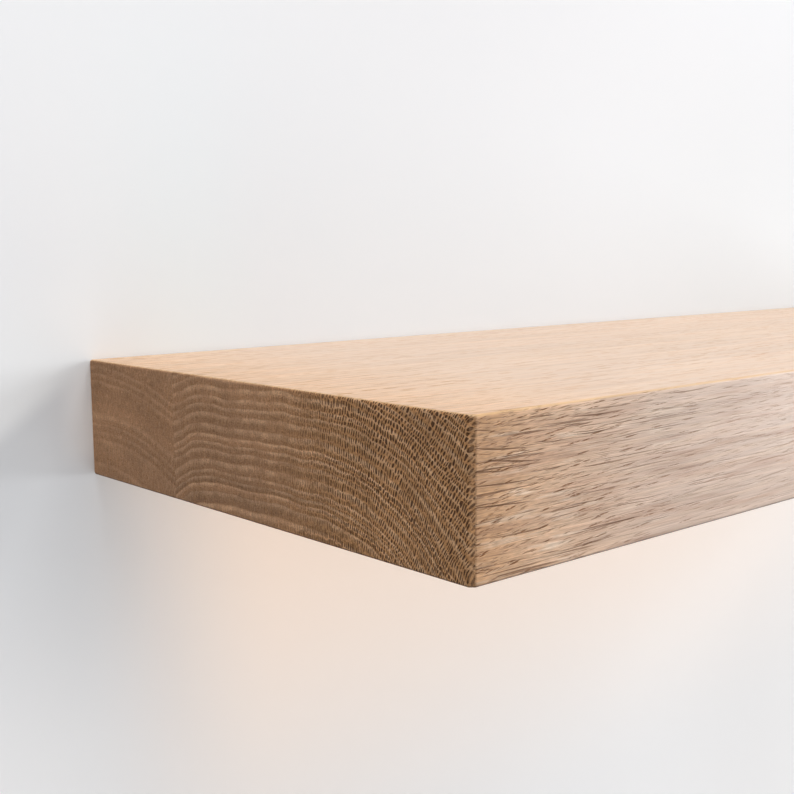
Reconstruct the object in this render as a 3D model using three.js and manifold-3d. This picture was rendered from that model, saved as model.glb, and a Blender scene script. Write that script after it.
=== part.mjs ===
// Floating wall shelf in solid oak on a concealed steel bracket.
//
// The board is two oak staves glued edge to edge. Its back is routed with a stopped channel and
// bored with blind holes, so that it slides onto the rods of a bracket that is screwed to the wall.
// Two set screws in the underside bear on the outer rods and keep the board from sliding off.
//
// Millimetres, +Z up. The origin is on the wall, at the middle of the shelf's length and thickness.
// -Y points out of the wall into the room, and the wall fixings lie at y above 0, inside the wall.

import * as THREE from 'three';
import { mergeVertices } from 'three/addons/utils/BufferGeometryUtils.js';
import Module from 'manifold-3d';

const wasm = await Module();
wasm.setup();

// The oak board.
const SHELF_LENGTH = 600;
const SHELF_DEPTH = 185;
const SHELF_THICKNESS = 40;
const BACK_STAVE_DEPTH = 55;
const ARRIS_RADIUS = 1; // the long edges, eased with sandpaper
const CORNER_EXTRA_RADIUS = 1.5; // by this much the upright corners are rounder than the long edges

// The flat steel bar, screwed to the wall.
const BAR_END_INSET = 50; // from the board's end to the bar's
const BAR_HEIGHT = 25;
const BAR_THICKNESS = 6;
const BAR_CORNER_RADIUS = 4;
const BAR_EDGE_BREAK = 0.4;
const BAR_WEB = 3; // the steel left behind each rod's socket

// The rods that stand out of the bar and carry the board, and the welds round their roots.
const ROD_COUNT = 3;
const ROD_END_INSET = 50; // from the bar's end to the outer rods
const ROD_DIAMETER = 12;
const ROD_FRONT_COVER = 45; // from the rod's tip to the board's front face
const ROD_TIP_CHAMFER = 1.5;
const WELD_LEG = 3.5;
const WELD_THROAT_DIP = 0.6; // how far the bead's face sags below a straight slope

// The wall screws, one on each side of each rod, and their plugs.
const SCREW_OFFSET = 35;
const SCREW_DIAMETER = 5;
const SCREW_LENGTH = 50;
const SCREW_HEAD_OVERHANG = 2.5; // how far the head spreads past the shank, at 45 degrees
const SCREW_HEAD_RIM = 0.4;
const SCREW_POINT_LENGTH = 6;
const SCREW_POINT_RADIUS = 0.3;
const CROSS_RECESS_REACH = 2.3; // from the screw's axis to the end of each arm
const CROSS_RECESS_WIDTH = 1.1;
const CROSS_RECESS_DEPTH = 2.2;
const PLUG_SETBACK = 2.5; // how far the plug's mouth is pushed into the wall
const PLUG_WALL = 1.2;
const PLUG_LENGTH = 40;
const PLUG_BARB_COUNT = 4;
const PLUG_BARB_DEPTH = 0.5;
const PLUG_COLLAR_LENGTH = 10;
const PLUG_SLOT_WIDTH = 1.4;
const PLUG_SLOT_SETBACK = 3; // from the plain collar to the root of the slot

// The set screws in the underside and the brass inserts that they turn in.
const LOCK_TIP_INSET = 30; // from the rod's tip to the set screw's axis
const LOCK_SCREW_DIAMETER = 6;
const LOCK_SCREW_CHAMFER = 0.6;
const LOCK_SCREW_RECESS = 1.2; // how far the screw's socket end sits inside the insert's mouth
const HEX_SOCKET_DEPTH = 3.5;
const INSERT_RECESS = 0.5; // below the board's underside
const INSERT_TOP_COVER = 3.2; // the oak between the insert's top and the rod's hole
const INSERT_WALL = 1; // at the root of its thread
const INSERT_THREAD_DEPTH = 0.7;
const INSERT_THREAD_COUNT = 3;
const INSERT_RIM = 1.4; // the plain ring at the insert's mouth

// Clearances.
const FIT_GAP = 0.3; // between pieces that bear on each other
const CHANNEL_SIDE_CLEARANCE = 0.5;
const CHANNEL_FLOOR_CLEARANCE = 0.5;
const BORE_CLEARANCE = 0.3; // around a rod
const BORE_END_ROOM = 5; // past a rod's tip
const DRILL_POINT_LENGTH = 3; // the cone that the drill leaves
const WELD_RECESS_CLEARANCE = 1;
const CUT_OVERRUN = 5; // how far a cutting shape runs past the face that it opens

// How finely round things are faceted, in sides or steps.
const ROD_SIDES = 32;
const FASTENER_SIDES = 20;
const HEX_SIDES = 6;
const CORNER_STEPS = 4;
const ARRIS_STEPS = 3;
const MERGE_DISTANCE = 1e-4; // vertices closer than this are one, far below every size above

// Sizes and places that follow from those above.
const barLength = SHELF_LENGTH - 2 * BAR_END_INSET;
const channelDepth = BAR_THICKNESS + CHANNEL_FLOOR_CLEARANCE;
const rodRadius = ROD_DIAMETER / 2;
const rodReach = SHELF_DEPTH - ROD_FRONT_COVER;
const boreRadius = rodRadius + BORE_CLEARANCE;
const weldRadius = rodRadius + WELD_LEG;
const firstRodX = -barLength / 2 + ROD_END_INSET;
const rodSpacing = (-2 * firstRodX) / (ROD_COUNT - 1);
const rodPlaces = Array.from({ length: ROD_COUNT }, (_, i) => firstRodX + i * rodSpacing);
const screwRadius = SCREW_DIAMETER / 2;
const screwHeadRadius = screwRadius + SCREW_HEAD_OVERHANG;
const screwPlaces = rodPlaces.flatMap((x) => [x - SCREW_OFFSET, x + SCREW_OFFSET]);
const lockRadius = LOCK_SCREW_DIAMETER / 2;
const lockReach = rodReach - LOCK_TIP_INSET;
const lockPlaces = [rodPlaces[0], rodPlaces[ROD_COUNT - 1]];
const lockTipZ = -(rodRadius + FIT_GAP);
const insertMouthZ = -SHELF_THICKNESS / 2 + INSERT_RECESS;
const insertLength = -boreRadius - INSERT_TOP_COVER - insertMouthZ;
const insertRootRadius = lockRadius + FIT_GAP + INSERT_WALL;
const insertRadius = insertRootRadius + INSERT_THREAD_DEPTH;
const lockBottomZ = insertMouthZ + LOCK_SCREW_RECESS;

function finish(color, roughness, metalness) {
  return new THREE.MeshStandardMaterial({ color, roughness, metalness, flatShading: true });
}

const materials = {
  oak: finish(0xc9a27c, 0.55, 0),
  blackSteel: finish(0x2b2c2e, 0.5, 0.4),
  zinc: finish(0xb9bcc0, 0.3, 1),
  nylon: finish(0x9a9da0, 0.6, 0),
  brass: finish(0xc79b4b, 0.35, 1),
};

// A closed geometry as a solid that can be cut and joined.
function solidOf(geometry) {
  const bare = geometry.clone();
  bare.deleteAttribute('normal');
  bare.deleteAttribute('uv');
  const merged = mergeVertices(bare, MERGE_DISTANCE);
  const mesh = new wasm.Mesh({
    numProp: 3,
    vertProperties: merged.getAttribute('position').array,
    triVerts: new Uint32Array(merged.index.array),
  });
  return new wasm.Manifold(mesh);
}

// A cut or joined solid as a geometry again.
function geometryOf(solid) {
  const { vertProperties, triVerts } = solid.getMesh();
  return new THREE.BufferGeometry()
    .setAttribute('position', new THREE.BufferAttribute(Float32Array.from(vertProperties), 3))
    .setIndex(new THREE.BufferAttribute(Uint32Array.from(triVerts), 1));
}

function named(name, geometry, material) {
  const mesh = new THREE.Mesh(geometry, material);
  mesh.name = name;
  return mesh;
}

// A rectangle about the origin with its corners rounded.
function roundedRectangle(width, height, radius) {
  const x = width / 2 - radius;
  const y = height / 2 - radius;
  const quarter = Math.PI / 2;
  const shape = new THREE.Shape();
  [[x, -y], [x, y], [-x, y], [-x, -y]].forEach(([centreX, centreY], i) => {
    shape.absarc(centreX, centreY, radius, (i - 1) * quarter, i * quarter, false);
  });
  return shape;
}

// An extruded outline of the given thickness with its two rims eased. It stands on z = 0.
function easedPlate(outline, thickness, easing, steps) {
  const plate = new THREE.ExtrudeGeometry(outline, {
    depth: thickness - 2 * easing,
    bevelEnabled: easing > 0,
    bevelSize: easing,
    bevelThickness: easing,
    bevelOffset: -easing,
    bevelSegments: steps,
    curveSegments: CORNER_STEPS,
  });
  return plate.translate(0, 0, easing);
}

// A solid turned about Y, from pairs of radius and y. The outer wall runs from low y to high y.
function turned(profile, sides) {
  return new THREE.LatheGeometry(profile.map(([radius, y]) => new THREE.Vector2(radius, y)), sides);
}

// A box from its lowest corner to its highest.
function boxBetween([x0, y0, z0], [x1, y1, z1]) {
  const box = new THREE.BoxGeometry(x1 - x0, y1 - y0, z1 - z0);
  return box.translate((x0 + x1) / 2, (y0 + y1) / 2, (z0 + z1) / 2);
}

// The whole board before it is cut and divided. Its back lies on the wall.
function boardBlank() {
  const outline = roundedRectangle(SHELF_LENGTH, SHELF_DEPTH, ARRIS_RADIUS + CORNER_EXTRA_RADIUS);
  const slab = easedPlate(outline, SHELF_THICKNESS, ARRIS_RADIUS, ARRIS_STEPS);
  return slab.translate(0, -SHELF_DEPTH / 2, -SHELF_THICKNESS / 2);
}

// The stopped channel for the bar, routed into the board's back.
function channelCut() {
  const outline = roundedRectangle(
    barLength + 2 * CHANNEL_SIDE_CLEARANCE,
    BAR_HEIGHT + 2 * CHANNEL_SIDE_CLEARANCE,
    BAR_CORNER_RADIUS + CHANNEL_SIDE_CLEARANCE,
  );
  const cut = easedPlate(outline, channelDepth + CUT_OVERRUN, 0, 0);
  return cut.rotateX(Math.PI / 2).translate(0, CUT_OVERRUN, 0);
}

// The hole for one rod: blind, with a conical end, and wider at its mouth to clear the weld bead.
function rodBore() {
  const end = -rodReach - BORE_END_ROOM;
  const mouthRadius = weldRadius + WELD_RECESS_CLEARANCE;
  const mouthFloor = -BAR_THICKNESS - WELD_LEG - WELD_RECESS_CLEARANCE;
  return turned(
    [
      [0, end - DRILL_POINT_LENGTH],
      [boreRadius, end],
      [boreRadius, mouthFloor],
      [mouthRadius, mouthFloor],
      [mouthRadius, -BAR_THICKNESS],
      [0, -BAR_THICKNESS],
    ],
    ROD_SIDES,
  );
}

// The pocket for one insert, and the narrower hole through which the set screw reaches the rod.
// Here Y stands for the board's Z.
function lockBore() {
  const pocketRadius = insertRadius + FIT_GAP;
  const pocketTop = insertMouthZ + insertLength;
  const below = -SHELF_THICKNESS / 2 - CUT_OVERRUN;
  return turned(
    [
      [0, below],
      [pocketRadius, below],
      [pocketRadius, pocketTop],
      [lockRadius + FIT_GAP, pocketTop],
      [lockRadius + FIT_GAP, 0],
      [0, 0],
    ],
    FASTENER_SIDES,
  );
}

// One stave: what lies between two distances from the wall in the cut and bored board.
function stave(name, near, far) {
  const slice = boxBetween([-SHELF_LENGTH, -far, -SHELF_THICKNESS], [SHELF_LENGTH, -near, SHELF_THICKNESS]);
  let wood = solidOf(boardBlank()).intersect(solidOf(slice)).subtract(solidOf(channelCut()));
  for (const x of rodPlaces) wood = wood.subtract(solidOf(rodBore().translate(x, 0, 0)));
  for (const x of lockPlaces) {
    wood = wood.subtract(solidOf(lockBore().rotateX(Math.PI / 2).translate(x, -lockReach, 0)));
  }
  return named(name, geometryOf(wood), materials.oak);
}

// The flat bar, with a countersunk hole for each screw and a shallow socket for each rod.
function wallBar() {
  const outline = roundedRectangle(barLength, BAR_HEIGHT, BAR_CORNER_RADIUS);
  let bar = solidOf(easedPlate(outline, BAR_THICKNESS, BAR_EDGE_BREAK, 1).rotateX(Math.PI / 2));
  const front = -BAR_THICKNESS - CUT_OVERRUN;
  const coneMouth = -BAR_THICKNESS + SCREW_HEAD_RIM;
  const screwHole = turned(
    [
      [0, front],
      [screwHeadRadius + FIT_GAP, front],
      [screwHeadRadius + FIT_GAP, coneMouth],
      [screwRadius + FIT_GAP, coneMouth + SCREW_HEAD_OVERHANG],
      [screwRadius + FIT_GAP, CUT_OVERRUN],
      [0, CUT_OVERRUN],
    ],
    FASTENER_SIDES,
  );
  const rodSocket = turned(
    [
      [0, front],
      [rodRadius + FIT_GAP, front],
      [rodRadius + FIT_GAP, -BAR_WEB],
      [0, -BAR_WEB],
    ],
    ROD_SIDES,
  );
  for (const x of screwPlaces) bar = bar.subtract(solidOf(screwHole.clone().translate(x, 0, 0)));
  for (const x of rodPlaces) bar = bar.subtract(solidOf(rodSocket.clone().translate(x, 0, 0)));
  return named('wall_bar', geometryOf(bar), materials.blackSteel);
}

// A round rod with a chamfered tip, seated on the floor of the bar's socket.
function supportRod() {
  return turned(
    [
      [0, -rodReach],
      [rodRadius - ROD_TIP_CHAMFER, -rodReach],
      [rodRadius, -rodReach + ROD_TIP_CHAMFER],
      [rodRadius, -BAR_WEB],
      [0, -BAR_WEB],
    ],
    ROD_SIDES,
  );
}

// The fillet of weld where a rod meets the bar's front face.
function weldBead() {
  const inner = rodRadius + FIT_GAP;
  const face = -BAR_THICKNESS;
  const middle = WELD_LEG / 2 - WELD_THROAT_DIP;
  return turned(
    [
      [inner, face - WELD_LEG],
      [inner + middle, face - middle],
      [weldRadius, face],
      [inner, face],
      [inner, face - WELD_LEG],
    ],
    ROD_SIDES,
  );
}

// A countersunk wood screw with a cross recess, its head flush with the bar's front face.
function wallScrew() {
  const top = -BAR_THICKNESS;
  const tip = top + SCREW_LENGTH;
  const screw = turned(
    [
      [0, top],
      [screwHeadRadius, top],
      [screwHeadRadius, top + SCREW_HEAD_RIM],
      [screwRadius, top + SCREW_HEAD_RIM + SCREW_HEAD_OVERHANG],
      [screwRadius, tip - SCREW_POINT_LENGTH],
      [SCREW_POINT_RADIUS, tip],
      [0, tip],
    ],
    FASTENER_SIDES,
  );
  const half = CROSS_RECESS_WIDTH / 2;
  const outside = top - CUT_OVERRUN;
  const floor = top + CROSS_RECESS_DEPTH;
  const upright = boxBetween([-half, outside, -CROSS_RECESS_REACH], [half, floor, CROSS_RECESS_REACH]);
  const level = boxBetween([-CROSS_RECESS_REACH, outside, -half], [CROSS_RECESS_REACH, floor, half]);
  return geometryOf(solidOf(screw).subtract(solidOf(upright)).subtract(solidOf(level)));
}

// A nylon plug: a plain collar, then barbs. A slot from the far end lets the screw spread it.
function wallPlug() {
  const inner = screwRadius + FIT_GAP;
  const outer = inner + PLUG_WALL;
  const mouth = PLUG_SETBACK;
  const end = mouth + PLUG_LENGTH;
  const firstBarb = mouth + PLUG_COLLAR_LENGTH;
  const barbLength = (end - firstBarb) / PLUG_BARB_COUNT;
  const profile = [[inner, mouth], [outer, mouth]];
  for (let i = 0; i < PLUG_BARB_COUNT; i += 1) {
    const start = firstBarb + i * barbLength;
    profile.push([outer, start], [outer - PLUG_BARB_DEPTH, start + barbLength]);
  }
  profile.push([inner, end], [inner, mouth]);
  const half = PLUG_SLOT_WIDTH / 2;
  const slotRoot = firstBarb + PLUG_SLOT_SETBACK;
  const slot = boxBetween([-2 * outer, slotRoot, -half], [2 * outer, end + CUT_OVERRUN, half]);
  return geometryOf(solidOf(turned(profile, FASTENER_SIDES)).subtract(solidOf(slot)));
}

// A brass insert with a coarse outer thread that bites into the oak. Its mouth is at y = 0 here.
function threadedInsert() {
  const inner = lockRadius + FIT_GAP;
  const pitch = (insertLength - INSERT_RIM) / INSERT_THREAD_COUNT;
  const profile = [[inner, 0], [insertRadius, 0], [insertRadius, INSERT_RIM], [insertRootRadius, INSERT_RIM]];
  for (let i = 0; i < INSERT_THREAD_COUNT; i += 1) {
    const start = INSERT_RIM + i * pitch;
    profile.push([insertRadius, start + pitch / 2], [insertRootRadius, start + pitch]);
  }
  profile.push([inner, insertLength], [inner, 0]);
  return turned(profile, FASTENER_SIDES);
}

// A set screw. Its hexagon socket opens at y = 0 here, and its flat tip is at the other end.
function lockScrew() {
  const length = lockTipZ - lockBottomZ;
  const body = turned(
    [
      [0, 0],
      [lockRadius - LOCK_SCREW_CHAMFER, 0],
      [lockRadius, LOCK_SCREW_CHAMFER],
      [lockRadius, length - LOCK_SCREW_CHAMFER],
      [lockRadius - LOCK_SCREW_CHAMFER, length],
      [0, length],
    ],
    FASTENER_SIDES,
  );
  const acrossFlats = lockRadius; // a set screw's key is half as wide as its thread
  const cornerRadius = acrossFlats / 2 / Math.cos(Math.PI / HEX_SIDES);
  const height = HEX_SOCKET_DEPTH + CUT_OVERRUN;
  const socket = new THREE.CylinderGeometry(cornerRadius, cornerRadius, height, HEX_SIDES);
  socket.translate(0, HEX_SOCKET_DEPTH - height / 2, 0);
  return geometryOf(solidOf(body).subtract(solidOf(socket)));
}

// Stands a piece that was turned about Y upright in the board, with its y = 0 at the height z.
function standInBoard(mesh, x, z) {
  mesh.rotation.x = Math.PI / 2;
  mesh.position.set(x, -lockReach, z);
  return mesh;
}

const board = new THREE.Group();
board.add(stave('back_stave', -CUT_OVERRUN, BACK_STAVE_DEPTH));
board.add(stave('front_stave', BACK_STAVE_DEPTH, SHELF_DEPTH + CUT_OVERRUN));
lockPlaces.forEach((x, i) => {
  const side = ['left', 'right'][i];
  const insert = named(`threaded_insert_${side}`, threadedInsert(), materials.brass);
  const screw = named(`lock_screw_${side}`, lockScrew(), materials.zinc);
  board.add(standInBoard(insert, x, insertMouthZ), standInBoard(screw, x, lockBottomZ));
});

const bracket = new THREE.Group();
bracket.add(wallBar());
rodPlaces.forEach((x, i) => {
  const rod = named(`support_rod_${i + 1}`, supportRod(), materials.blackSteel);
  const bead = named(`weld_bead_${i + 1}`, weldBead(), materials.blackSteel);
  rod.position.x = x;
  bead.position.x = x;
  bracket.add(rod, bead);
});
screwPlaces.forEach((x, i) => {
  const screw = named(`wall_screw_${i + 1}`, wallScrew(), materials.zinc);
  const plug = named(`wall_plug_${i + 1}`, wallPlug(), materials.nylon);
  screw.position.x = x;
  plug.position.x = x;
  bracket.add(screw, plug);
});

const shelf = new THREE.Group();
shelf.add(bracket, board);

export default shelf;
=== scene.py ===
import math
from functools import partial, reduce

import bmesh
import bpy
from mathutils import Matrix, Vector


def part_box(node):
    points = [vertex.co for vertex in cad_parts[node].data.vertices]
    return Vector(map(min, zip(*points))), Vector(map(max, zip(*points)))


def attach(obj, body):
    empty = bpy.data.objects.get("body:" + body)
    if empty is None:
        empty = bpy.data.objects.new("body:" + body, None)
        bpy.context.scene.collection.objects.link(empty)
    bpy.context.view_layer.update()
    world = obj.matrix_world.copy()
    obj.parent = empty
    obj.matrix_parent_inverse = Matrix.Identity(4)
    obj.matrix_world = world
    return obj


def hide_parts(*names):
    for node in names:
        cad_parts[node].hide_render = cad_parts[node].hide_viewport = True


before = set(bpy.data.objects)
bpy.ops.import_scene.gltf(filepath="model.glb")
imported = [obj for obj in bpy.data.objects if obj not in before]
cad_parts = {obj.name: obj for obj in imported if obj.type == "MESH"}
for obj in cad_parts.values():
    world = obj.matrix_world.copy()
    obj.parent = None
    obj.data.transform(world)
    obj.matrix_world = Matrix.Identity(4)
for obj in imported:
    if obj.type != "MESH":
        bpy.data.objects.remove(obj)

# The camera stands in the room to the left of the shelf, a little above its top, and looks along it
# towards the wall. Its place and lens are those that the straight edges of the shelf call for.
mm = 0.001
bpy.ops.object.select_all(action="DESELECT")
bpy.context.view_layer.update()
bpy.ops.object.camera_add()
camera = bpy.context.object
camera.name = "camera"
camera.data.lens = 52.07
camera.data.sensor_width = 36
camera.data.clip_start = 10 * mm
turn = Matrix.Rotation(math.radians(-41.179), 4, "Z")
tilt = Matrix.Rotation(math.radians(90 - 7.349), 4, "X")
roll = Matrix.Rotation(math.radians(-0.435), 4, "Z")
stand = Matrix.Translation(Vector((-478.7, -364.0, 56.74)) * mm)
camera.matrix_world = stand @ turn @ tilt @ roll
bpy.context.scene.camera = camera
bpy.context.scene.view_settings.view_transform = "Standard"

# The room is a white wall and a pale floor. They are only scenery: the wall shows from the room's
# side alone and lets the light of the room through, so that the shelf's back can be seen as well.


def add_node(tree, kind, inputs=(), **settings):
    """Adds a node and gives its inputs, by name or number, a value or another node's output."""
    node = tree.nodes.new("ShaderNode" + kind)
    for key, value in settings.items():
        setattr(node, key, value)
    for key, value in dict(inputs).items():
        if isinstance(value, bpy.types.NodeSocket):
            tree.links.new(value, node.inputs[key])
        else:
            node.inputs[key].default_value = value
    return node


def reckon(tree, operation, *values):
    """The result of one sum on the given values."""
    return add_node(tree, "Math", dict(enumerate(values)), operation=operation).outputs[0]


def times(tree, *values):
    """The product of all the values."""
    return reduce(partial(reckon, tree, "MULTIPLY"), values)


def fade(tree, value, start, end, low=0.0, high=1.0):
    """A soft step from low to high as the value goes from start to end."""
    inputs = {"Value": value, "From Min": start, "From Max": end, "To Min": low, "To Max": high}
    return add_node(tree, "MapRange", inputs, interpolation_type="SMOOTHSTEP").outputs[0]


def blend_colours(tree, share, first, second):
    """The first colour, going over to the second as the share goes from 0 to 1."""
    inputs = {0: share, 6: first, 7: second}
    return add_node(tree, "Mix", inputs, data_type="RGBA").outputs[2]


def layer_colours(tree, colour, *layers):
    """A colour with others laid over it in turn. Each layer is a share and a colour."""
    for share, layer in layers:
        colour = blend_colours(tree, share, colour, layer)
    return colour


def new_material(name):
    """A material, its node tree and its surface shader."""
    material = bpy.data.materials.new(name)
    material.use_nodes = True
    return material, material.node_tree, material.node_tree.nodes["Principled BSDF"]


def shows(tree):
    """1 for rays that show what they meet, straight, in a gloss or through glass, and 0 for light."""
    ray = add_node(tree, "LightPath")
    direct = reckon(tree, "MAXIMUM", ray.outputs["Is Camera Ray"], ray.outputs["Is Glossy Ray"])
    return reckon(tree, "MAXIMUM", direct, ray.outputs["Is Transmission Ray"])


def patch(tree, *steps):
    """A soft-edged patch. Each step is a value, where the patch starts on it and where it is full."""
    return times(tree, *(fade(tree, *step) for step in steps))


bpy.ops.mesh.primitive_plane_add(size=9, location=(0, 0.3 * mm, 1.5), rotation=(math.pi / 2, 0, 0))
wall = bpy.context.object
wall.name = "room_wall"
bpy.ops.object.transform_apply(location=True, rotation=True, scale=True)
material, tree, paint = new_material("white wall with painted shade and glow")
paint.inputs["Roughness"].default_value = 0.9
paint.inputs["Specular IOR Level"].default_value = 0.2
across, _, up = add_node(tree, "SeparateXYZ", {0: add_node(tree, "TexCoord").outputs["Object"]}).outputs

# Painted light and shade lie in the wall's colour: a warm painted glow and a painted shadow under the
# shelf, a cool painted tint above it and a painted brightening near its left end. The places are in
# metres from the middle of the shelf's back.
painted_glow = patch(tree, (across, -0.31, -0.22), (across, 0.36, -0.04), (up, -0.23, -0.04), (up, 0.03, -0.03))
# A cool painted tint, standing for cooler light on the wall just above the shelf.
painted_cool_tint = layer_colours(
    tree, (0.84, 0.945, 1.0, 1),
    (patch(tree, (across, -0.28, -0.22)), (0.85, 0.907, 0.96, 1)),
    (patch(tree, (across, -0.05, 0.1)), (0.80, 0.855, 0.90, 1)),
)
# Above the shelf the wall's colour carries painted light, brightest near the shelf's left end.
painted_light_above = layer_colours(
    tree, (0.91, 0.93, 0.955, 1),
    (patch(tree, (across, -0.34, -0.12)), (0.865, 0.885, 0.915, 1)),
    (patch(tree, (across, 0.0, 0.2)), (0.82, 0.84, 0.865, 1)),
    (patch(tree, (across, -0.33, -0.22), (up, 0.19, 0.04)), painted_cool_tint),
    (patch(tree, (across, -0.285, -0.31), (up, 0.06, 0.01)), (0.985, 0.995, 1.0, 1)),
)
# Below the shelf the wall's colour is a painted shadow, with the painted glow laid over it.
painted_shade_below = layer_colours(
    tree, (0.77, 0.785, 0.805, 1),
    (patch(tree, (up, -0.025, -0.13)), (0.95, 0.95, 0.955, 1)),
    (patch(tree, (across, -0.318, -0.25)), (0.94, 0.94, 0.945, 1)),
    (patch(tree, (across, -0.314, -0.302), (up, -0.02, -0.008)), (0.94, 0.94, 0.945, 1)),
    (patch(tree, (across, 0.0, 0.15)), (0.88, 0.875, 0.875, 1)),
    (painted_glow, (0.94, 0.895, 0.865, 1)),
)

# The painted shadow of the shelf starts at its top, and slants down on the wall past its left end.
left_end, slope = -0.303, 0.71
beside = reckon(tree, "MAXIMUM", reckon(tree, "SUBTRACT", left_end, across), 0)
slant = reckon(tree, "MULTIPLY_ADD", beside, slope, up)
shade = blend_colours(tree, fade(tree, slant, 0.024, 0.012), painted_light_above, painted_shade_below)
tree.links.new(shade, paint.inputs["Base Color"])
# The painted glow also shines with a faint warm emission of its own, though no lamp is there.
painted_glow_strength = 0.27
paint.inputs["Emission Color"].default_value = (1.0, 0.58, 0.28, 1)
tree.links.new(times(tree, painted_glow, painted_glow_strength), paint.inputs["Emission Strength"])
front = reckon(tree, "SUBTRACT", 1, add_node(tree, "NewGeometry").outputs["Backfacing"])
clear = add_node(tree, "BsdfTransparent").outputs[0]
inputs = {0: times(tree, shows(tree), front), 1: clear, 2: paint.outputs[0]}
surface = add_node(tree, "MixShader", inputs).outputs[0]
tree.links.new(surface, tree.nodes["Material Output"].inputs["Surface"])
wall.data.materials.append(material)

bpy.ops.mesh.primitive_plane_add(size=9, location=(0, 0, -1.25))
floor = bpy.context.object
floor.name = "room_floor"
material, tree, paint = new_material("pale floor")
paint.inputs["Base Color"].default_value = (0.84, 0.84, 0.84, 1)
paint.inputs["Roughness"].default_value = 0.7
floor.data.materials.append(material)

# Daylight fills the room from all sides, and two large soft lights stand for a window on the right
# and a bright ceiling. The sky itself shows as a plain pale tone.
world = bpy.data.worlds.new("room_light")
bpy.context.scene.world = world
world.use_nodes = True
tree = world.node_tree
daylight = tree.nodes["Background"]
daylight.inputs["Color"].default_value = (0.97, 0.98, 1.0, 1)
daylight.inputs["Strength"].default_value = 0.44
pale = add_node(tree, "Background", {"Color": (0.93, 0.93, 0.935, 1), "Strength": 1.0}).outputs[0]
sky = add_node(tree, "MixShader", {0: shows(tree), 1: daylight.outputs[0], 2: pale}).outputs[0]
tree.links.new(sky, tree.nodes["World Output"].inputs["Surface"])


def softbox(name, place, width, height, power):
    """A white rectangular area lamp that points at the shelf."""
    bpy.ops.object.light_add(type="AREA", location=place)
    lamp = bpy.context.object
    lamp.name = name
    lamp.data.shape = "RECTANGLE"
    lamp.data.size = width
    lamp.data.size_y = height
    lamp.data.energy = power
    lamp.rotation_mode = "QUATERNION"
    lamp.rotation_quaternion = Vector(place).to_track_quat("Z", "Y")


softbox("window_light", (2.4, -1.0, 0.25), width=1.3, height=1.6, power=63)
softbox("ceiling_light", (-0.15, -0.45, 2.1), width=1.8, height=0.8, power=45)

# The board is two staves of solid oak, planed flat and glued edge to edge. The front one carries the
# upright corners, which are cut off at 45 degrees, and all outer edges are eased with sandpaper.


def only(piece):
    """Selects one piece and nothing else."""
    bpy.ops.object.select_all(action="DESELECT")
    piece.select_set(True)
    bpy.context.view_layer.objects.active = piece


def put(piece, place=(0, 0, 0), turn=(0, 0, 0)):
    """Turns a piece by degrees about X, Y and Z and moves it to its place in mm, in its mesh."""
    only(piece)
    piece.rotation_euler = [math.radians(angle) for angle in turn]
    piece.location = [value * mm for value in place]
    bpy.ops.object.transform_apply(location=True, rotation=True, scale=True)
    return piece


def block(name, low, high):
    """A block between two corners, with its place in its mesh, left in edit mode."""
    bpy.ops.object.select_all(action="DESELECT")
    bpy.ops.mesh.primitive_cube_add(size=1, location=(low + high) / 2)
    piece = bpy.context.object
    piece.name = name
    piece.scale = high - low
    bpy.ops.object.transform_apply(location=True, rotation=True, scale=True)
    bpy.ops.object.mode_set(mode="EDIT")
    return piece


def select_edges(piece, wanted):
    """In edit mode, selects the edges whose middle and direction pass the test."""
    bpy.ops.mesh.select_mode(type="EDGE")
    bpy.ops.mesh.select_all(action="DESELECT")
    mesh = bmesh.from_edit_mesh(piece.data)
    for edge in mesh.edges:
        start, end = (v.co / mm for v in edge.verts)
        if wanted((start + end) / 2, (end - start).normalized()):
            edge.select_set(True)
    bmesh.update_edit_mesh(piece.data)


def bevel_edges(piece, width, segments, wanted):
    """In edit mode, bevels the edges that pass the test by a width in mm."""
    select_edges(piece, wanted)
    bpy.ops.mesh.bevel(offset=width * mm, segments=segments, affect="EDGES")


def weigh_edges(piece, weight, wanted):
    """In edit mode, marks the edges that pass the test with their share of the easing."""
    select_edges(piece, wanted)
    bpy.ops.transform.edge_bevelweight(value=weight)


def modify(piece, kind, **settings):
    """Adds a modifier and applies it."""
    only(piece)
    modifier = piece.modifiers.new(kind, kind)
    for key, value in settings.items():
        setattr(modifier, key, value)
    bpy.ops.object.modifier_apply(modifier=modifier.name)


def cut_away(piece, tool):
    """Cuts the tool's shape out of the piece and throws the tool away."""
    modify(piece, "BOOLEAN", operation="DIFFERENCE", object=tool, solver="EXACT")
    bpy.data.objects.remove(tool)


def merge_doubles(reach=0.001):
    """In edit mode, selects the whole piece and merges its vertices that lie within reach, in mm."""
    bpy.ops.mesh.select_all(action="SELECT")
    bpy.ops.mesh.remove_doubles(threshold=reach * mm)


def draw_outline(name, points):
    """A wire through points of radius and height in mm, drawn out from one vertex."""
    bpy.ops.object.select_all(action="DESELECT")
    bpy.ops.mesh.primitive_plane_add(size=mm)
    wire = bpy.context.object
    wire.name = name
    bpy.ops.object.mode_set(mode="EDIT")
    bpy.ops.mesh.select_mode(type="VERT")
    bpy.ops.mesh.merge(type="CENTER")
    here = Vector((0, 0, 0))
    for i, (radius, height) in enumerate(points):
        step = Vector((radius, 0, height)) * mm - here
        here += step
        if i:
            bpy.ops.mesh.extrude_region_move(TRANSFORM_OT_translate={"value": step})
        else:
            bpy.ops.transform.translate(value=step)
    return wire


def turned(name, points, sides=64):
    """A solid turned about Z from its outline, which starts and ends on the axis or in one point."""
    piece = draw_outline(name, points)
    bpy.ops.mesh.select_all(action="SELECT")
    bpy.ops.mesh.spin(steps=sides, angle=2 * math.pi, center=(0, 0, 0), axis=(0, 0, 1))
    merge_doubles()
    bpy.ops.mesh.normals_make_consistent(inside=False)
    bpy.ops.object.mode_set(mode="OBJECT")
    return piece


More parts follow.
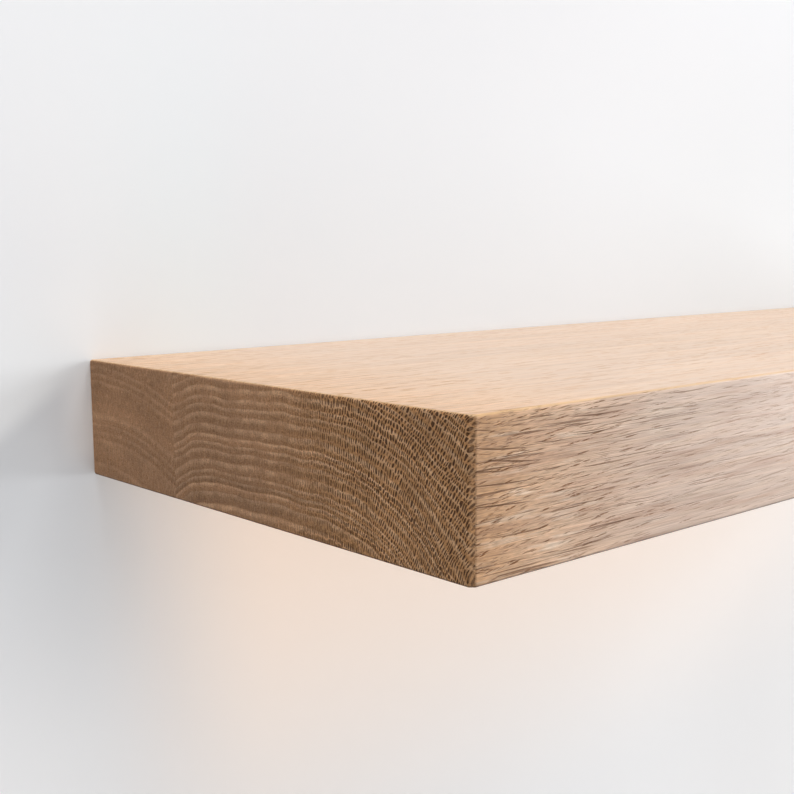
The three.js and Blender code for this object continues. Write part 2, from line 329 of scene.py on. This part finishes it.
def smooth(piece, angle=35):
    """Smooth shading over the rounded edges, with flat faces kept flat."""
    only(piece)
    bpy.ops.object.shade_smooth_by_angle(angle=math.radians(angle))
    modify(piece, "WEIGHTED_NORMAL", keep_sharp=True)


def finish_surface(tree, surface, colour, roughness, height, depth, strength=1.0):
    """Gives a surface its colour and roughness, and a relief from a height and a depth in mm."""
    relief = add_node(tree, "Bump", {"Height": height, "Distance": depth * mm, "Strength": strength})
    tree.links.new(colour, surface.inputs["Base Color"])
    tree.links.new(roughness, surface.inputs["Roughness"])
    tree.links.new(relief.outputs[0], surface.inputs["Normal"])


def finish_piece(piece, material, body, node):
    """Gives a finished piece its material and its place on the object."""
    piece.data.materials.clear()
    piece.data.materials.append(material)
    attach(piece, body)
    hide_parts(node)


# Sizes and places are in mm. The middle of the board's back is at 0, and its front lies towards -y.
board_length = 600
rod_places = [(x, 0, 0) for x in (-200, 0, 200)]
lock_places = {"left": (-200, -110, 0), "right": (200, -110, 0)}


def planed_stave(name, upright_weight):
    """A stave with its outer edges eased. Its glued edge stays sharp."""
    low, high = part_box(name)
    blank = block(name + "_wood", low, high)
    low, high = low / mm, high / mm
    in_front = low.y < -100
    glue_y = high.y if in_front else low.y
    corner_cut, easing = 1.4, 0.9
    if in_front:
        bevel_edges(blank, corner_cut, 1, lambda p, d: abs(d.z) > 0.9 and p.y < low.y + 1)
    weigh_edges(blank, 1.0, lambda p, d: abs(d.z) < 0.1 and abs(p.y - glue_y) > 0.01)
    weigh_edges(blank, upright_weight, lambda p, d: abs(d.z) > 0.9 and abs(p.y - glue_y) > 1)
    bpy.ops.object.mode_set(mode="OBJECT")
    modify(blank, "BEVEL", width=easing * mm, segments=4, limit_method="WEIGHT", use_clamp_overlap=True)
    return blank


def cut_board(blank):
    """Routs the channel, half a millimetre wider all round than the bar, and drills all the holes."""
    router = block("router", Vector((-250.5, -6.5, -13)) * mm, Vector((250.5, 5, 13)) * mm)
    bevel_edges(router, 4.5, 8, lambda p, d: abs(d.y) > 0.9)
    bpy.ops.object.mode_set(mode="OBJECT")
    cut_away(blank, router)
    rod_hole = [(0, 6), (10.5, 6), (10.5, 10.5), (6.3, 10.5), (6.3, 145), (0, 148)]
    for place in rod_places:
        cut_away(blank, put(turned("drill", rod_hole), place, turn=(90, 0, 0)))
    lock_hole = [(0, -25), (6.3, -25), (6.3, -20), (5.3, -19), (5.3, -9.5), (3.3, -9.5), (3.3, 0), (0, 0)]
    for place in lock_places.values():
        cut_away(blank, put(turned("drill", lock_hole), place))


def oak(name, pith, growth_curve=None, ring=2.7, tone=1.0, rake=0.0, clarity=1.0):
    """Oiled oak, cut from a trunk whose pith lies at the given y and z below the board, in mm.

    Rings, pores and rays run through the solid wood, so that every cut face shows what it should.
    """
    material, tree, wood = new_material(name)
    node = partial(add_node, tree)
    calc = partial(reckon, tree)
    add = partial(reckon, tree, "ADD")
    mul = partial(times, tree)
    soft = partial(fade, tree)
    mix = partial(blend_colours, tree)
    coordinates = node("TexCoord").outputs
    inputs = {"Vector": coordinates["Object"], "Scale": [1 / mm] * 3, "Location": (board_length / 2, 0, 0)}
    log = node("Mapping", inputs).outputs[0]  # x from the left end, in mm
    x, y, z = node("SeparateXYZ", {0: log}).outputs
    facing_x, _, facing_z = node("SeparateXYZ", {0: coordinates["Normal"]}).outputs

    def streaks(length, width, detail):
        """Noise drawn out along the grain, from 0 to 1."""
        inputs = {0: log, 1: (1 / length, 1 / width, 1 / width)}
        drawn = node("VectorMath", inputs, operation="MULTIPLY").outputs[0]
        inputs = {"Vector": drawn, "Scale": 1.0, "Detail": detail, "Roughness": 0.6}
        return node("TexNoise", inputs).outputs[0]

    def swing(noise, size):
        """Noise turned into a swing to both sides of zero."""
        return mul(calc("SUBTRACT", noise, 0.5), size)

    def count_off(value):
        """A chance number from 0 to 1 for each whole number that the value passes."""
        return node("TexWhiteNoise", {"W": calc("FLOOR", value)}, noise_dimensions="1D").outputs[0]

    # The rings lie round the pith, bend with the growth curve and waver a little.
    across = calc("SUBTRACT", y, pith[0])
    bent = across
    if growth_curve:
        first_y, depth, lowest, reach = -55, 130, -60, 100
        curve = node("FloatCurve")
        line = curve.mapping.curves[0]
        points = sorted(((first_y - a) / depth, (b - lowest) / reach) for a, b in growth_curve)
        while len(line.points) < len(points):
            line.points.new(0.5, 0.5)
        for point, (a, b) in zip(line.points, points):
            point.location = (a, b)
            point.handle_type = "AUTO"
        curve.mapping.update()
        tree.links.new(calc("MULTIPLY_ADD", y, -1 / depth, first_y / depth), curve.inputs["Value"])
        bent = calc("MULTIPLY_ADD", curve.outputs[0], reach, lowest)
    inputs = {0: node("CombineXYZ", {0: bent, 1: calc("SUBTRACT", z, pith[1])}).outputs[0]}
    out = node("VectorMath", inputs, operation="LENGTH").outputs["Value"]
    out = add(out, swing(streaks(230, 26, 1.5), 3.2))
    out = add(out, swing(streaks(120, 9, 1.0), 1.1))

    # Near the front the trunk's taper makes the rings climb along the board from its left end.
    front_width, taper_reach, steep, gentle = 56, 35, 5.0, 0.03
    near = calc("MAXIMUM", mul(across, -1), 0)
    frontness = calc("MINIMUM", calc("DIVIDE", near, front_width), 1)
    run = calc("SUBTRACT", 1, calc("EXPONENT", calc("DIVIDE", x, -taper_reach)))
    climb = calc("MULTIPLY_ADD", run, steep, mul(x, gentle))
    out = calc("SUBTRACT", out, mul(climb, frontness, rake))

    # Each year starts with a row of wide spring pores and goes over to dense summer wood.
    inputs = {"W": calc("DIVIDE", out, 9), "Scale": 1.0, "Detail": 0.0}
    pace = node("TexNoise", inputs, noise_dimensions="1D").outputs[0]
    age = calc("MULTIPLY_ADD", pace, 1.6, calc("DIVIDE", out, ring))
    season = calc("FRACT", age)
    year = count_off(age)
    spring = mul(soft(season, 0.0, 0.08), soft(season, 0.42, 0.8, 1, 0))
    summer = mul(soft(season, 0.25, 0.8), soft(season, 0.85, 1.0, 1, 0), clarity)
    summer = mul(summer, soft(streaks(70, 7, 1.0), 0.3, 0.65, 0.35, 1))

    # Sideways, round the trunk, along which the rays and pores are counted.
    lean = mul(calc("DIVIDE", near, -pith[1]), z)
    bow = calc("SUBTRACT", mul(run, 5.5), mul(x, 0.045))
    sway = add(bow, swing(streaks(50, 12, 1.0), 4.0))
    side = add(add(y, lean), sway)
    fan = add(calc("MULTIPLY_ADD", lean, 0.6, y), sway)

    def woven(width, height, detail):
        """Noise in the plane of the end grain, so wide along the rings and so high across them."""
        inputs = {0: mul(fan, 1 / width), 1: mul(out, 1 / height)}
        inputs = {"Vector": node("CombineXYZ", inputs).outputs[0], "Scale": 1.0, "Detail": detail}
        return node("TexNoise", inputs, noise_dimensions="2D").outputs[0]

    # Where a face cuts across the grain, the pores show as rows of short strokes that point outwards.
    rows_a_year, stroke_spacing = 1.7, 0.85
    row = add(mul(age, rows_a_year), swing(woven(1.8, 3.6, 1.0), 1.2))
    shift = calc("MULTIPLY_ADD", count_off(row), 7.3, swing(woven(2.2, 9.0, 1.0), 1.5))
    wave = calc("SINE", mul(add(shift, mul(fan, 1 / stroke_spacing)), 2 * math.pi))
    spot = calc("SUBTRACT", calc("FRACT", row), 0.5)
    wave = calc("SUBTRACT", wave, mul(spot, spot, spot, spot, 40.0))
    wave = add(wave, swing(woven(1.1, 2.0, 1.0), 1.7))
    wave = add(wave, calc("MULTIPLY_ADD", year, 1.1, -0.45))
    open_grain = soft(y, -95, -150, 0.12, 1)
    crowd = soft(calc("MAXIMUM", spring, mul(open_grain, 0.8)), 0.0, 0.6)
    patchy = soft(streaks(200, 1.7, 1.0), 0.25, 0.5, 0.55, 1)
    stroke = mul(soft(wave, -0.55, 0.35), crowd, open_grain, patchy)

    def lines(thin, broad, spacing, depth, length, width, seed):
        """Fine lines along the grain, set apart by spacing, depth and length, and so wide, in mm."""
        inputs = {
            0: calc("MULTIPLY_ADD", thin, 1 / spacing, seed),
            1: calc("DIVIDE", broad, depth),
            2: calc("DIVIDE", x, length),
        }
        place = node("CombineXYZ", inputs).outputs[0]
        found = node("TexVoronoi", {"Vector": place, "Scale": 1.0}).outputs["Position"]
        off = node("VectorMath", {0: place, 1: found}, operation="SUBTRACT").outputs[0]
        off = node("SeparateXYZ", {0: off}).outputs
        far = add(mul(off[1], off[1], 5.5), mul(off[2], off[2], 5.5))
        thick = calc("ABSOLUTE", mul(off[0], spacing / width))
        return soft(add(thick, far), 1.0, 0.4)

    # Along the grain, pores and rays are fine dark lines. Pores follow the rings and rays cross them.
    pitted = soft(streaks(1.6, 0.5, 1.0), 0.30, 0.55, 0.25, 1)
    vessel = mul(lines(out, side, 1.0, 1.6, 9, 0.24, 0.0), pitted, calc("MAXIMUM", spring, 0.55))
    pore = mul(lines(out, side, 0.6, 0.9, 6.5, 0.16, 3.3), soft(streaks(40, 3, 1.0), 0.35, 0.6))
    vessel = calc("MAXIMUM", vessel, mul(pore, 0.65))
    ray = lines(side, out, 3.0, 14, 34, 0.24, 0.3)
    short_ray = lines(side, out, 1.5, 5, 12, 0.15, 7.7)

    # Fibres are long faint streaks, coarse and fine, with slow changes of tone between them.
    fibre = streaks(30, 1.1, 3.0)
    hair = streaks(14, 0.3, 2.0)
    crack = soft(streaks(30, 0.6, 1.0), 0.38, 0.30)
    # The pale flecks are partly ray fleck in the wood and partly painted sheen.
    fleck_and_sheen = soft(streaks(20, 1.8, 2.0), 0.54, 0.72)
    band = soft(streaks(48, 2.8, 2.0), 0.54, 0.34)

    # The level faces are sanded the finest, and the saw shows most near the ends.
    inset = calc("MINIMUM", x, calc("SUBTRACT", board_length, x))
    end_grain = soft(calc("ABSOLUTE", facing_x), 0.55, 0.8)
    level = soft(calc("ABSOLUTE", facing_z), 0.5, 0.9)
    planed = mul(level, soft(inset, 0, 80, 0.5, 0.85))
    sawn = mul(calc("SUBTRACT", 1, planed), soft(inset, 12, 125, 1, 0.2))
    tip = mul(soft(inset, 24, 0), calc("MULTIPLY_ADD", level, -0.6, 1))
    rim = mul(soft(facing_z, 0.2, 0.5), soft(facing_z, 0.985, 0.9))
    along = layer_colours(
        tree, (0.69, 0.428, 0.256, 1),
        # Painted sheen: away from the ends the wood goes over to a paler, greyer tone.
        (soft(inset, 0, 80), (0.645, 0.48, 0.383, 1)),
        (mul(summer, 0.3), (0.68, 0.48, 0.33, 1)),
        # Pale flecks: partly ray fleck, partly painted sheen.
        (mul(fleck_and_sheen, sawn, 0.55), (0.90, 0.735, 0.58, 1)),
        (mul(band, 0.45), (0.44, 0.25, 0.165, 1)),
        (mul(tip, 0.5), (0.43, 0.215, 0.085, 1)),
        (mul(vessel, sawn, 0.9), (0.20, 0.08, 0.025, 1)),
        (mul(crack, sawn, 0.75), (0.19, 0.085, 0.035, 1)),
        (mul(short_ray, sawn, 0.75), (0.19, 0.085, 0.032, 1)),
        (mul(ray, sawn, 0.85), (0.16, 0.08, 0.042, 1)),
        # Painted shade: the level faces get a darker tone of their own, set for how the light falls on them.
        (mul(level, soft(inset, 0, 70, 0.3, 0.42)), (0.53, 0.364, 0.22, 1)),
        (mul(rim, 0.5), (0.56, 0.36, 0.17, 1)),
    )

    def shaded(colour, *shades):
        """The colour, made darker or paler by the product of the shades."""
        return node("VectorMath", {0: colour, "Scale": mul(*shades)}, operation="SCALE").outputs[0]

    # The end grain is darker. Towards the front it is warmer, and its pores stand open as strokes.
    dark = mix(open_grain, (0.345, 0.184, 0.097, 1), (0.52, 0.263, 0.111, 1))
    light = mix(open_grain, (0.52, 0.305, 0.175, 1), (0.72, 0.43, 0.235, 1))
    ends = mix(calc("MAXIMUM", summer, mul(fleck_and_sheen, 0.35)), dark, light)
    ends = mix(mul(stroke, 0.92), ends, (0.055, 0.02, 0.006, 1))
    curtain = add(1, swing(woven(0.55, 2.6, 2.0), 0.7))
    yearly = add(1, swing(year, 0.3 * clarity))
    ends = shaded(ends, curtain, yearly, add(1, swing(streaks(200, 30, 1.0), 0.5)))

    # The faces go over into one another round the edges; painted shade darkens the underside and lower
    # arris.
    colour = mix(end_grain, along, ends)
    # Near the ends, fine specks of darker and paler tone stand for pits and, in their pale half, painted
    # glints.
    speck_and_glint = mul(swing(streaks(3.5, 0.5, 1.0), 0.9), soft(inset, 60, 10))
    rough_tone = add(1, mul(add(speck_and_glint, swing(hair, 0.75)), sawn))
    grain = mul(swing(fibre, 0.45), calc("MULTIPLY_ADD", level, -0.6, 1))
    grain = add(grain, mul(swing(streaks(300, 2.5, 2.0), 0.32), level))
    painted_arris_shade = mul(soft(facing_z, -0.15, -0.5), soft(facing_z, -0.98, -0.88))
    painted_underside_shade = mul(soft(facing_z, -0.8, -0.1, 0.7, 1), calc("MULTIPLY_ADD", painted_arris_shade, -0.45, 1))
    cloud = add(1, swing(streaks(90, 8, 2.0), 0.3))
    colour = shaded(colour, add(tone, grain), rough_tone, cloud, painted_underside_shade)

    # Oiled wood has a faint sheen, and open pores are real pits, about a tenth of a millimetre deep.
    wood.inputs["Specular IOR Level"].default_value = 0.15
    gloss = calc("MULTIPLY_ADD", fibre, 0.16, 0.24)
    gloss = calc("MULTIPLY_ADD", calc("MAXIMUM", vessel, ray), 0.5, gloss)
    gloss = calc("MULTIPLY_ADD", end_grain, 0.3, gloss)
    pits = calc("MULTIPLY_ADD", vessel, -0.16, mul(ray, -0.08))
    pits = calc("MULTIPLY_ADD", crack, -0.08, pits)
    pits = mul(calc("MULTIPLY_ADD", hair, 0.16, pits), sawn)
    pits = calc("SUBTRACT", pits, mul(stroke, end_grain, 0.16))
    finish_surface(tree, wood, colour, gloss, pits, depth=1.0)
    return material


# How far to the side of the pith the rings lie, at places y across the front stave.
front_growth = [
    (-55, 29.0), (-60, 24.0), (-66, 17.0), (-72, 12.8), (-80, 10.6), (-90, 8.0),
    (-105, 3.5), (-118, 1.0), (-130, -2.0), (-140, -11.0), (-160, -31.0), (-185, -56.0),
]
front_oak = oak("oak, front stave", (-129, -63), front_growth, rake=1.0)
back_oak = oak("oak, back stave", (-8, -120), ring=5.0, tone=1.03, clarity=0.45)
for name, upright_weight, material in (("front_stave", 0.33, front_oak), ("back_stave", 0.5, back_oak)):
    stave = planed_stave(name, upright_weight)
    cut_board(stave)
    smooth(stave)
    finish_piece(stave, material, "shelf_board", name)

# The bracket's bar is flat steel with rounded corners, countersunk for six screws. It is hidden in
# the channel of the board. Bar, rods and welds are powder coated together, in a fine matt black.


def noise(tree, place, scale, detail):
    """Soft noise from 0 to 1, with so many swells to the metre."""
    return add_node(tree, "TexNoise", {"Vector": place, "Scale": scale, "Detail": detail}).outputs[0]


def powder_coat():
    """Black powder coat with the faint orange peel that it sets with."""
    material, tree, coat = new_material("black powder coat")
    place = add_node(tree, "TexCoord").outputs["Object"]
    cloud = noise(tree, place, 90.0, 3.0)
    colour = blend_colours(tree, cloud, (0.022, 0.022, 0.024, 1), (0.034, 0.034, 0.036, 1))
    roughness = reckon(tree, "MULTIPLY_ADD", cloud, 0.2, 0.36)
    coat.inputs["Specular IOR Level"].default_value = 0.35
    finish_surface(tree, coat, colour, roughness, noise(tree, place, 1400.0, 1.0), 0.05, 0.6)
    return material


screw_places = [(x, 0, 0) for x in (-235, -165, -35, 35, 165, 235)]
black = powder_coat()
bar = block("bar_steel", *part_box("wall_bar"))
bevel_edges(bar, 4, 8, lambda p, d: abs(d.y) > 0.9)
bevel_edges(bar, 0.4, 3, lambda p, d: abs(d.y) < 0.1 and (p.y > -0.01 or p.y < -5.99))
bpy.ops.object.mode_set(mode="OBJECT")
for place in screw_places:
    countersink = turned("drill", [(0, -1), (2.8, -1), (2.8, 3.1), (5.3, 5.6), (5.3, 7), (0, 7)])
    cut_away(bar, put(countersink, place, turn=(90, 0, 0)))
for place in rod_places:
    drill = turned("drill", [(0, 3), (6.1, 3), (6.1, 7), (0, 7)])
    cut_away(bar, put(drill, place, turn=(90, 0, 0)))
smooth(bar)
finish_piece(bar, black, "wall_bracket", "wall_bar")

# The rods are round steel, chamfered at the tip to find their holes, set in the bar and welded all
# round. The bead is laid in one pass, so that its face is dished and rippled.


def repeat(piece, name, place, spin=0):
    """A copy with its own mesh, turned by its own angle about Y and moved to its place in mm."""
    only(piece)
    bpy.ops.object.duplicate()
    copy = bpy.context.object
    copy.name = name
    return put(copy, place, turn=(0, spin, 0))


rod = turned("rod_steel", [(0, 3), (6, 3), (6, 138.5), (4.5, 140), (0, 140)], sides=72)
bpy.ops.object.mode_set(mode="EDIT")
bevel_edges(rod, 0.35, 3, lambda p, d: abs(d.z) < 0.1 and p.z > 138 and p.xy.length > 4)
bpy.ops.object.mode_set(mode="OBJECT")
smooth(put(rod, turn=(90, 0, 0)), angle=50)

bead_sides, ripple, ripple_depth = 128, 4, 0.16
bead_face = [(9.3, 6.25), (8.5, 6.75), (7.8, 7.25), (7.2, 7.9), (6.65, 8.7), (6.25, 9.4)]
bead_outline = [(5.95, 5.9), (9.5, 5.9), *bead_face, (5.95, 9.5), (5.95, 5.9)]
bead = turned("bead_steel", bead_outline, sides=bead_sides)
bpy.ops.object.mode_set(mode="EDIT")
bpy.ops.mesh.select_mode(type="VERT")
bpy.ops.mesh.select_all(action="DESELECT")
mesh = bmesh.from_edit_mesh(bead.data)

# The ripples are shallow grooves across the face of the bead, bowed by the lag of its edges.
for vertex in mesh.verts:
    radius, height = vertex.co.xy.length / mm, vertex.co.z / mm
    lag = 2.2 * abs(radius - 7.7) / 1.6
    step = (math.atan2(vertex.co.y, vertex.co.x) / (2 * math.pi) * bead_sides + lag) % ripple
    vertex.select_set(6.1 < radius < 9.4 and 6.1 < height < 9.45 and step < ripple / 2)
mesh.select_flush_mode()
bmesh.update_edit_mesh(bead.data)
bpy.ops.transform.shrink_fatten(value=-ripple_depth * mm)
bpy.ops.object.mode_set(mode="OBJECT")
smooth(put(bead, turn=(90, 0, 0)), angle=60)
for i, place in enumerate(rod_places, 1):
    for original, node, spin in ((rod, f"support_rod_{i}", 0), (bead, f"weld_bead_{i}", 70 * i)):
        copy = repeat(original, node + "_steel", place, spin)
        finish_piece(copy, black, "wall_bracket", node)
for original in (rod, bead):
    bpy.data.objects.remove(original)

# The wall screws are 5 x 50 mm countersunk wood screws with a cross recess, rolled from steel wire
# and zinc plated. Each is driven to its own angle.


def thread(name, root, crest, pitch, turns, start, sides=32):
    """A helical ridge with a rounded-off crest, closed at both ends."""
    wide, narrow = 0.46 * pitch, 0.08 * pitch
    shape = [(root, -wide), (crest, -narrow), (crest, narrow), (root, wide), (root, -wide)]
    ridge = draw_outline(name, [(radius, start + height) for radius, height in shape])
    merge_doubles()
    bpy.ops.object.mode_set(mode="OBJECT")
    modify(
        ridge, "SCREW", axis="Z", angle=2 * math.pi, screw_offset=pitch * mm, iterations=turns,
        steps=sides, render_steps=sides, use_smooth_shade=False,
    )
    bpy.ops.object.mode_set(mode="EDIT")
    merge_doubles()
    bpy.ops.mesh.fill_holes(sides=0)
    bpy.ops.mesh.select_all(action="SELECT")
    bpy.ops.mesh.normals_make_consistent(inside=False)
    bpy.ops.object.mode_set(mode="OBJECT")
    return ridge


def trim_to(piece, envelope):
    """Keeps only what lies inside the envelope, and throws the envelope away."""
    modify(piece, "BOOLEAN", operation="INTERSECT", object=envelope, solver="EXACT")
    bpy.data.objects.remove(envelope)
    bpy.ops.object.mode_set(mode="EDIT")
    merge_doubles(reach=0.002)
    bpy.ops.object.mode_set(mode="OBJECT")


def weld_into(piece, other):
    """Makes the other one part of the piece."""
    only(piece)
    other.select_set(True)
    bpy.ops.object.join()


def zinc_plate():
    """Bright zinc plate: cloudy, with a bluish and a yellowish cast, and fine marks of rolling."""
    material, tree, metal = new_material("zinc plate")
    place = add_node(tree, "TexCoord").outputs["Object"]
    cloud = noise(tree, place, 420.0, 4.0)
    grit = noise(tree, place, 3200.0, 2.0)
    colour = blend_colours(tree, cloud, (0.50, 0.53, 0.58, 1), (0.62, 0.60, 0.54, 1))
    metal.inputs["Metallic"].default_value = 1.0
    finish_surface(tree, metal, colour, reckon(tree, "MULTIPLY_ADD", grit, 0.22, 0.2), grit, 0.01, 0.5)
    return material


zinc = zinc_plate()
screw_head = [(0, -5.95), (4.55, -5.95), (4.9, -5.85), (5, -5.6), (1.9, -2.5), (1.75, -2.2)]
screw_shank = [(1.75, 10), (1.6, 10.6), (1.6, 37), (1.1, 40), (0.35, 43.6), (0, 43.99)]
screw = turned("screw_steel", screw_head + screw_shank, sides=48)
for angle in (0, 90):
    wing = block("cross_punch", Vector((-2.3, -0.55, -7)) * mm, Vector((2.3, 0.55, -3.8)) * mm)
    select_edges(wing, lambda p, d: p.z > -3.81)
    bpy.ops.transform.resize(value=(0.5, 0.75, 1), center_override=(0, 0, -3.8 * mm))
    bpy.ops.object.mode_set(mode="OBJECT")
    cut_away(screw, put(wing, turn=(0, 0, angle)))
cut_away(screw, turned("cross_punch", [(0, -7), (1.35, -7), (1.1, -4.2), (0, -3.5)], sides=32))
ridge = thread("screw_thread", root=1.45, crest=2.5, pitch=2.2, turns=15, start=9.6)
screw_room = [(0, 8.5), (1.65, 8.5), (2.53, 12), (2.53, 36.5), (0.45, 43.2), (0, 43.6)]
trim_to(ridge, turned("envelope", screw_room, sides=32))
weld_into(screw, ridge)
put(screw, turn=(-90, 0, 0))
smooth(screw, angle=40)
for i, (place, spin) in enumerate(zip(screw_places, (12, 71, 38, 55, 5, 83)), 1):
    copy = repeat(screw, f"wall_screw_{i}_steel", place, spin)
    finish_piece(copy, zinc, "wall_bracket", f"wall_screw_{i}")
bpy.data.objects.remove(screw)

# The plugs are moulded nylon tubes, 8 mm wide, pushed into the wall. Barbs hold them, and slots from
# the far end let the screw spread them.


def grey_nylon():
    """Moulded nylon: slightly translucent, with a fine texture and faint flow marks."""
    material, tree, plastic = new_material("grey nylon")
    place = add_node(tree, "TexCoord").outputs["Object"]
    drawn = add_node(tree, "VectorMath", {0: place, 1: (300, 60, 300)}, operation="MULTIPLY").outputs[0]
    flow = noise(tree, drawn, 1.0, 2.0)
    colour = blend_colours(tree, flow, (0.30, 0.31, 0.325, 1), (0.37, 0.38, 0.39, 1))
    plastic.inputs["Subsurface Weight"].default_value = 0.15
    plastic.inputs["Subsurface Scale"].default_value = 0.8 * mm
    roughness = reckon(tree, "MULTIPLY_ADD", flow, 0.2, 0.4)
    finish_surface(tree, plastic, colour, roughness, noise(tree, place, 2600.0, 2.0), 0.02, 0.5)
    return material


nylon = grey_nylon()
plug_outline = [(2.8, 2.5), (3.75, 2.5), (4, 2.8)]
for barb in range(4):
    start = 12.5 + 7.5 * barb
    plug_outline += [(4, start), (4, start + 1.0), (3.5, start + 7.3)]
plug_outline += [(3.3, 42.5), (2.8, 42.5), (2.8, 2.5)]
plug = turned("plug_nylon", plug_outline, sides=48)
for angle, slot_root in ((0, 15.5), (90, 21)):
    saw = block("saw", Vector((-6, -0.7, slot_root)) * mm, Vector((6, 0.7, 45)) * mm)
    bevel_edges(saw, 0.69, 5, lambda p, d: abs(d.x) > 0.9 and p.z < slot_root + 0.1)
    bpy.ops.object.mode_set(mode="OBJECT")
    cut_away(plug, put(saw, turn=(0, 0, angle)))
put(plug, turn=(-90, 0, 0))
modify(plug, "BEVEL", width=0.12 * mm, segments=2, limit_method="ANGLE", angle_limit=math.radians(50))
smooth(plug, angle=40)
for i, place in enumerate(screw_places, 1):
    copy = repeat(plug, f"wall_plug_{i}_nylon", place)
    finish_piece(copy, nylon, "wall_bracket", f"wall_plug_{i}")
bpy.data.objects.remove(plug)

# Two brass inserts are screwed into the underside. A coarse thread outside holds the oak, and the
# M6 thread inside takes the set screw. Two slots across the mouth are for driving them in.


def turned_brass():
    """Brass from the lathe: fine marks run round the upright axis of each insert."""
    material, tree, metal = new_material("turned brass")
    place = add_node(tree, "TexCoord").outputs["Object"]
    x, y, z = add_node(tree, "SeparateXYZ", {0: place}).outputs
    axis_x, axis_y, _ = (value * mm for value in lock_places["right"])
    off = reckon(tree, "SUBTRACT", reckon(tree, "ABSOLUTE", x), axis_x)
    round_axis = add_node(tree, "CombineXYZ", {0: off, 1: reckon(tree, "SUBTRACT", y, axis_y)}).outputs[0]
    radius = add_node(tree, "VectorMath", {0: round_axis}, operation="LENGTH").outputs["Value"]
    inputs = {"W": times(tree, reckon(tree, "ADD", radius, z), 9000), "Scale": 1.0, "Detail": 2.0}
    marks = add_node(tree, "TexNoise", inputs, noise_dimensions="1D").outputs[0]
    cloud = noise(tree, place, 300.0, 3.0)
    colour = blend_colours(tree, cloud, (0.76, 0.54, 0.22, 1), (0.66, 0.44, 0.17, 1))
    metal.inputs["Metallic"].default_value = 1.0
    finish_surface(tree, metal, colour, reckon(tree, "MULTIPLY_ADD", cloud, 0.2, 0.2), marks, 0.01, 0.8)
    return material


brass = turned_brass()
insert_outside = [(3.6, -19.5), (4.7, -19.5), (5, -19.2), (5, -18.1), (4.35, -18.1), (4.35, -9.9), (4, -9.5)]
insert_bore = [(3.3, -9.5), (3.3, -19.2), (3.6, -19.5)]
insert = turned("insert_brass", insert_outside + insert_bore)
slot_saw = block("saw", Vector((-6, -0.6, -21)) * mm, Vector((6, 0.6, -18.5)) * mm)
bpy.ops.object.mode_set(mode="OBJECT")
cut_away(insert, slot_saw)
ridge = thread("insert_thread", root=4.2, crest=5, pitch=2.3, turns=3, start=-17.0, sides=48)
insert_room = [(0, -18.2), (5.03, -18.2), (5.03, -11.2), (4.3, -9.7), (0, -9.7)]
trim_to(ridge, turned("envelope", insert_room, sides=48))
weld_into(insert, ridge)
weld_into(insert, thread("inner_thread", root=3.36, crest=3.08, pitch=1.0, turns=8, start=-18.4, sides=40))
smooth(insert, angle=40)
for side, place in lock_places.items():
    copy = repeat(insert, f"threaded_insert_{side}_brass", place)
    finish_piece(copy, brass, "shelf_board", f"threaded_insert_{side}")
bpy.data.objects.remove(insert)

# The set screws are M6 x 12 with a 3 mm hexagon socket. They turn in the inserts until their flat
# tips press on the outer rods, and so lock the board on the bracket.
lock_outline = [(0, -18.3), (2.2, -18.3), (2.5, -18.0), (2.5, -6.6), (2.2, -6.3), (0, -6.3)]
lock = turned("lock_steel", lock_outline, sides=48)
socket_radius = 1.732
bpy.ops.object.select_all(action="DESELECT")
bpy.ops.mesh.primitive_cylinder_add(
    vertices=6, radius=socket_radius * mm, depth=6 * mm, location=(0, 0, -17.8 * mm),
)
key = bpy.context.object
bpy.ops.object.transform_apply(location=True, rotation=True, scale=True)
cut_away(lock, key)
ridge = thread("lock_thread", root=2.4, crest=3, pitch=1.0, turns=13, start=-18.9, sides=48)
lock_room = [(0, -18.3), (2.4, -18.3), (3.03, -17.67), (3.03, -6.93), (2.4, -6.3), (0, -6.3)]
trim_to(ridge, turned("envelope", lock_room, sides=48))
weld_into(lock, ridge)
smooth(lock, angle=40)
for side, place in lock_places.items():
    copy = repeat(lock, f"lock_screw_{side}_steel", place)
    finish_piece(copy, zinc, f"lock_screw_{side}", f"lock_screw_{side}")
bpy.data.objects.remove(lock)
